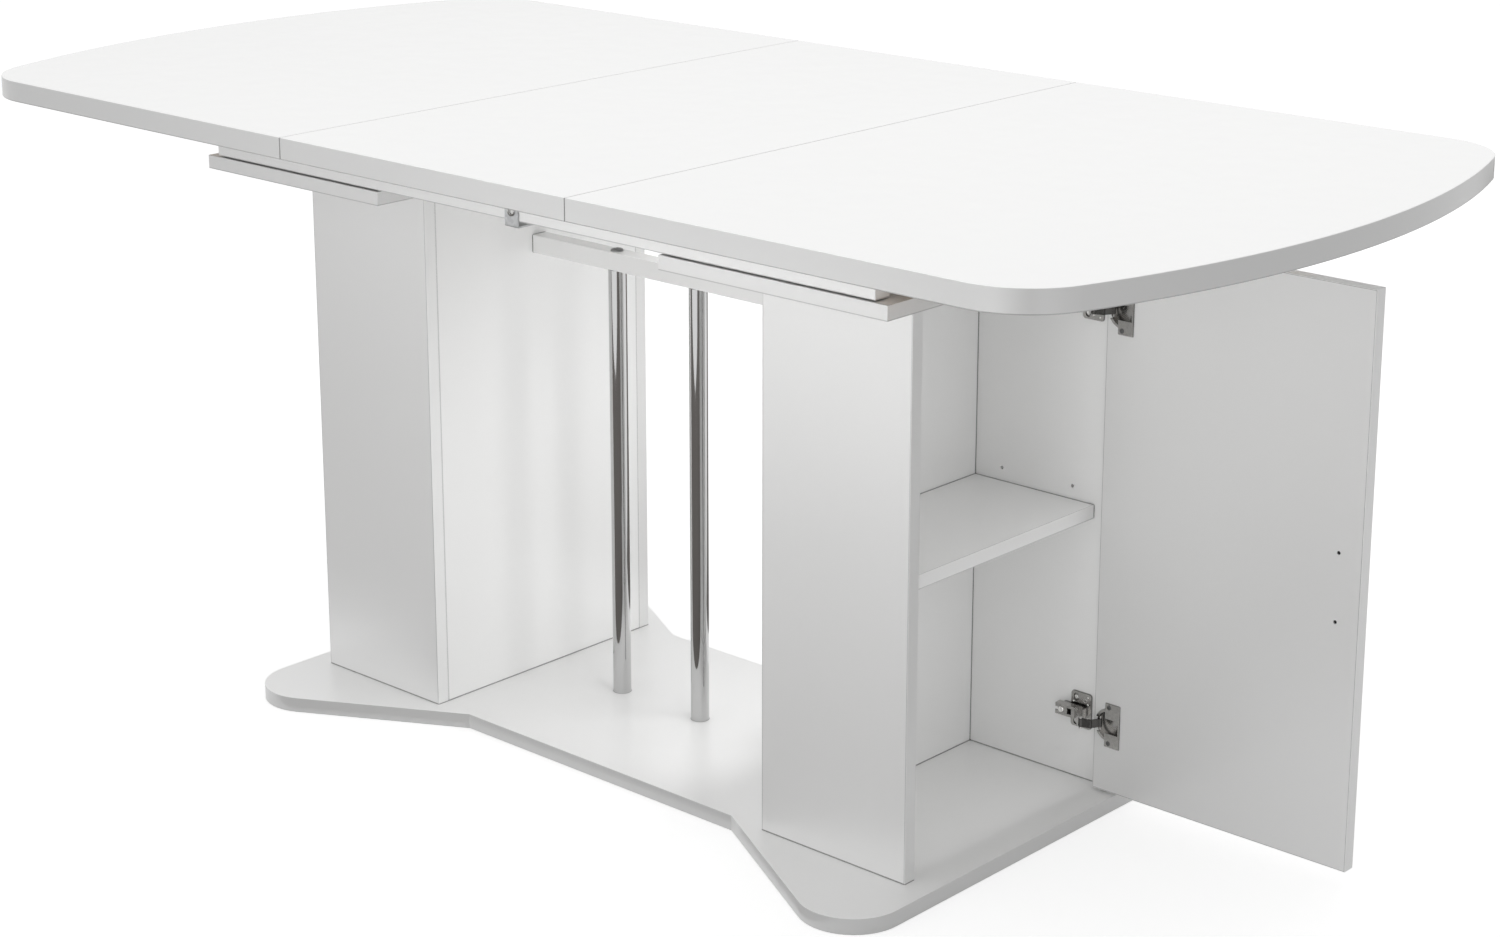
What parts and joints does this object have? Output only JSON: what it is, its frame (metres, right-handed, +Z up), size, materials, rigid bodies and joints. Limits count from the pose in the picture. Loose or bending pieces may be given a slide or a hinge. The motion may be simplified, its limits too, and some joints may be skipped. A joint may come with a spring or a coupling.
{
  "type": "extending kitchen table",
  "caption": "Extending kitchen table: bow-ended top with an insert leaf, carried on twin storage cabinets with hinged doors and inner shelves, linked by chrome poles on a bow-tie base.",
  "frame": {"origin": "on the floor under the middle of the table top", "axes": "+X along the table's length towards the cabinet whose door stands open, -Y towards the front, +Z up"},
  "size_m": [1.723, 0.847, 0.76],
  "materials": {
    "white_board": "satin white foil on chipboard",
    "top_board": "semi-gloss white laminate",
    "hardwood": "planed beech",
    "chrome_tube": "polished chrome plate",
    "beam_foil": "satin white foil",
    "nickel_hinge": "nickel-plated pressing",
    "zinc_screw": "bright zinc plate",
    "strap_steel": "galvanised strip",
    "dark_bolt": "blackened steel",
    "handle_metal": "satin nickel plate",
    "plug_plastic": "moulded black nylon",
    "spacer_plastic": "moulded black strip"
  },
  "bodies": {
    "table_frame": {"base_plate": "white_board", "base_screws": "zinc_screw", "beam_screws": "zinc_screw", "centre_strap": "strap_steel", "deck_screws": "zinc_screw", "front_guide": "hardwood", "front_rail": "white_board", "hinge_arm_rivets": "nickel_hinge", "hinge_arm_screws": "zinc_screw", "hinge_plate_screws": "zinc_screw", "left_back_panel": "white_board", "left_deck_board": "white_board", "left_front_panel": "white_board", "left_hinge_arms": "nickel_hinge", "left_hinge_plates": "nickel_hinge", "left_pole": "chrome_tube", "left_rear_panel": "white_board", "left_shelf": "white_board", "left_shelf_pins": "zinc_screw", "middle_pole": "chrome_tube", "panel_dowels": "hardwood", "pole_beam": "beam_foil", "pole_bolts": "dark_bolt", "pole_floor_screws": "zinc_screw", "pole_plugs": "plug_plastic", "rail_screws": "zinc_screw", "rail_spacers": "spacer_plastic", "rear_guide": "hardwood", "rear_rail": "white_board", "right_back_panel": "white_board", "right_deck_board": "white_board", "right_front_panel": "white_board", "right_hinge_arms": "nickel_hinge", "right_hinge_plates": "nickel_hinge", "right_pole": "chrome_tube", "right_rear_panel": "white_board", "right_shelf": "white_board", "right_shelf_pins": "zinc_screw", "strap_screws": "zinc_screw"},
    "right_door": {"right_door": "white_board", "right_handle": "handle_metal", "right_handle_studs": "zinc_screw", "right_hinge_cups": "nickel_hinge", "right_cup_screws": "zinc_screw", "right_cup_pins": "nickel_hinge"},
    "left_door": {"left_door": "white_board", "left_handle": "handle_metal", "left_handle_studs": "zinc_screw", "left_hinge_cups": "nickel_hinge", "left_cup_screws": "zinc_screw", "left_cup_pins": "nickel_hinge"},
    "right_hinge_links": {"right_hinge_links": "nickel_hinge"},
    "left_hinge_links": {"left_hinge_links": "nickel_hinge"},
    "right_top_half": {"right_top_half": "top_board", "right_runner_bars": "hardwood", "right_runner_screws": "zinc_screw"},
    "left_top_half": {"left_top_half": "top_board", "left_runner_bars": "hardwood", "left_runner_screws": "zinc_screw"},
    "insert_leaf": {"insert_leaf": "top_board"}
  },
  "joints": [
    {"name": "right_door_swing", "type": "hinge", "parent": "table_frame", "child": "right_door", "pos_m": [0.4661, 0.1653, 0], "axis": [0, 0, 1], "range_deg": [-90, 5]},
    {"name": "left_door_swing", "type": "hinge", "parent": "table_frame", "child": "left_door", "pos_m": [-0.4661, 0.1653, 0], "axis": [0, 0, -1], "range_deg": [0, 95]},
    {"name": "right_link_fold", "type": "hinge", "parent": "right_door", "child": "right_hinge_links", "pos_m": [0.476, 0.1492, 0], "axis": [0, 0, 1], "range_deg": [-9.3, 164.5]},
    {"name": "left_link_fold", "type": "hinge", "parent": "left_door", "child": "left_hinge_links", "pos_m": [-0.45, 0.1554, 0], "axis": [0, 0, 1], "range_deg": [-0.1, 173.6]},
    {"name": "right_half_slide", "type": "slide", "parent": "table_frame", "child": "right_top_half", "axis": [1, 0, 0], "range_m": [0, 0.06]},
    {"name": "left_half_slide", "type": "slide", "parent": "table_frame", "child": "left_top_half", "axis": [-1, 0, 0], "range_m": [0, 0.06]},
    {"name": "leaf_lift", "type": "slide", "parent": "table_frame", "child": "insert_leaf", "axis": [0, 0, 1], "range_m": [0, 0.15]}
  ],
  "couplings": [
    {"joint": "right_link_fold", "follows": "right_door_swing", "ratio": -1.8257},
    {"joint": "left_link_fold", "follows": "left_door_swing", "ratio": 1.8257}
  ]
}
